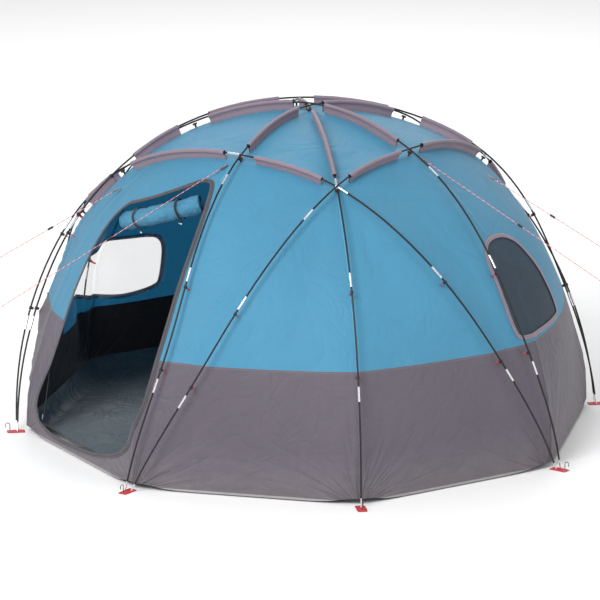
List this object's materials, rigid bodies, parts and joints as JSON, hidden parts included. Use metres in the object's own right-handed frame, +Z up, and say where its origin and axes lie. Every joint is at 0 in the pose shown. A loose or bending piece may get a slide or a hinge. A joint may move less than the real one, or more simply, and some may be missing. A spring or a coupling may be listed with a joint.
{
  "type": "dome tent",
  "caption": "Many-sided dome tent: crossing jointed poles over a blue and grey fabric canopy, with a rolled-up door, a mesh window and guy ropes",
  "frame": {"origin": "on the ground at the centre of the circle that the feet stand on", "axes": "+Z up, -Y towards the middle front foot, +X to the right of someone facing the front"},
  "size_m": [3.9786, 3.7444, 1.9831],
  "materials": {
    "pole_fibreglass": "satin black",
    "metal_tips": "brushed",
    "peg_steel": "satin black",
    "webbing_red": "woven webbing",
    "ground_fabric": "coated weave",
    "wall_fabric": "coated weave",
    "canopy_fabric": "coated weave",
    "sleeve_fabric": "coated weave",
    "black_plastic": "moulded",
    "zip_tape": "woven tape",
    "door_fabric": "coated weave",
    "toggle_plastic": "gloss white",
    "window_mesh": "fine mesh",
    "window_film": "translucent",
    "rope_cord": "braided"
  },
  "bodies": {
    "root": {"pole_centre": "pole_fibreglass", "pole_left_apex": "pole_fibreglass", "pole_right_apex": "pole_fibreglass", "pole_left_lean": "pole_fibreglass", "pole_right_lean": "pole_fibreglass", "pole_rear_arch": "pole_fibreglass", "pole_low_arch": "pole_fibreglass", "ferrules": "metal_tips", "pole_tips": "metal_tips", "foot_tabs": "webbing_red", "foot_eyelets": "metal_tips", "peg_hooks": "peg_steel", "ground_sheet": "ground_fabric", "wall_front_left": "wall_fabric", "wall_front_right": "wall_fabric", "wall_right": "wall_fabric", "wall_right_rear": "wall_fabric", "wall_rear_right": "wall_fabric", "wall_rear_left": "wall_fabric", "wall_left_rear": "wall_fabric", "canopy_front_left": "canopy_fabric", "canopy_front_right": "canopy_fabric", "canopy_right": "canopy_fabric", "canopy_right_rear": "canopy_fabric", "canopy_rear_right": "canopy_fabric", "canopy_rear_left": "canopy_fabric", "canopy_left_rear": "canopy_fabric", "door_surround": "canopy_fabric", "roof_ring": "canopy_fabric", "roof_cap": "canopy_fabric", "sleeves_apex": "sleeve_fabric", "sleeves_front": "sleeve_fabric", "sleeves_rear": "sleeve_fabric", "clip_hooks": "black_plastic", "clip_straps": "webbing_red", "crossing_wraps": "black_plastic", "rolled_door": "door_fabric", "door_ties": "black_plastic", "door_zip": "zip_tape", "window_mesh": "window_mesh", "window_binding": "sleeve_fabric", "rear_window_pane": "window_film", "rear_window_binding": "sleeve_fabric", "guy_tabs": "sleeve_fabric", "rope_front_left": "rope_cord", "rope_left": "rope_cord", "rope_front_right": "rope_cord", "rope_right": "rope_cord", "rope_loops": "metal_tips"},
    "toggle_left": {"toggle_left": "toggle_plastic"},
    "toggle_right": {"toggle_right": "toggle_plastic"},
    "zip_slider": {"zip_slider": "black_plastic"},
    "zip_pull": {"zip_pull": "metal_tips"},
    "runner_front_left": {"runner_front_left": "black_plastic"},
    "runner_left": {"runner_left": "black_plastic"},
    "runner_front_right": {"runner_front_right": "black_plastic"},
    "runner_right": {"runner_right": "black_plastic"}
  },
  "joints": [
    {"name": "toggle_left_turn", "type": "hinge", "parent": "root", "child": "toggle_left", "pos_m": [-1.06686, -0.30592, 1.29449], "axis": [-0.9613, -0.2756, 0], "range_deg": [-80, 80]},
    {"name": "toggle_right_turn", "type": "hinge", "parent": "root", "child": "toggle_right", "pos_m": [-0.85614, -0.51442, 1.38992], "axis": [-0.8572, -0.515, 0], "range_deg": [-80, 80]},
    {"name": "zip_slide", "type": "slide", "parent": "root", "child": "zip_slider", "axis": [0.1451, 0.0165, 0.9893], "range_m": [0, 0.26]},
    {"name": "zip_pull_swing", "type": "hinge", "parent": "zip_slider", "child": "zip_pull", "pos_m": [-1.65977, -0.19243, 0.15735], "axis": [-0.1129, 0.9936, 0], "range_deg": [0, 150]},
    {"name": "runner_front_left_slide", "type": "slide", "parent": "root", "child": "runner_front_left", "axis": [-0.8682, -0.1677, -0.467], "range_m": [-0.15, 0.15]},
    {"name": "runner_left_slide", "type": "slide", "parent": "root", "child": "runner_left", "axis": [-0.8819, -0.2151, -0.4195], "range_m": [-0.15, 0.15]},
    {"name": "runner_front_right_slide", "type": "slide", "parent": "root", "child": "runner_front_right", "axis": [0.7284, -0.4879, -0.481], "range_m": [-0.15, 0.15]},
    {"name": "runner_right_slide", "type": "slide", "parent": "root", "child": "runner_right", "axis": [0.7093, -0.5652, -0.4212], "range_m": [-0.15, 0.15]}
  ]
}
